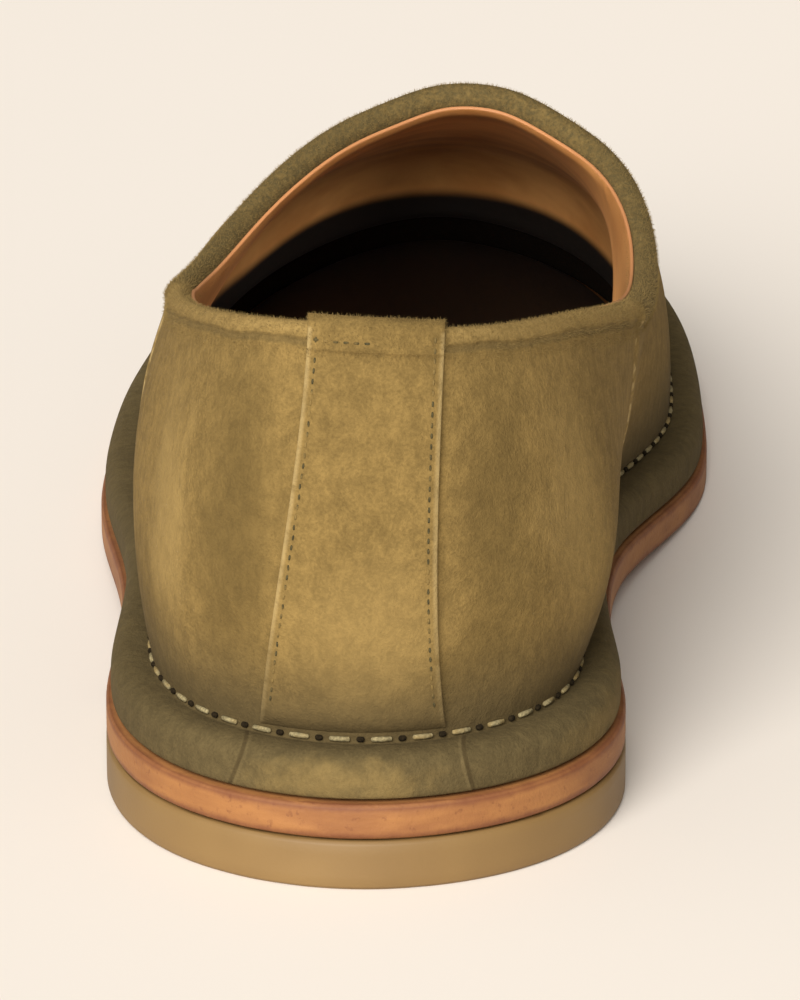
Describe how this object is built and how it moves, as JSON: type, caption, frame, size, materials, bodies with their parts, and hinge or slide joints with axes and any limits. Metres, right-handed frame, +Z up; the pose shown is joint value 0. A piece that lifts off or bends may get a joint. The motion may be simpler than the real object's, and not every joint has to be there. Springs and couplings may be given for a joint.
{
  "type": "loafer",
  "caption": "Left suede slip-on loafer with a folded collar, a back strip, a stitched rolled margin, a leather outsole and a low rubber heel.",
  "frame": {"origin": "on the floor under the middle of the outsole's box", "axes": "+Y towards the toe, +X towards the medial side, +Z up from the floor"},
  "size_m": [0.1008, 0.29, 0.082],
  "materials": {
    "suede": "napped",
    "sole_leather": "smooth",
    "heel_rubber": "matt",
    "insole_leather": "smooth"
  },
  "bodies": {
    "root": {"upper": "suede", "back_strip": "suede", "outsole": "sole_leather", "heel": "heel_rubber", "insole": "insole_leather"}
  },
  "joints": []
}
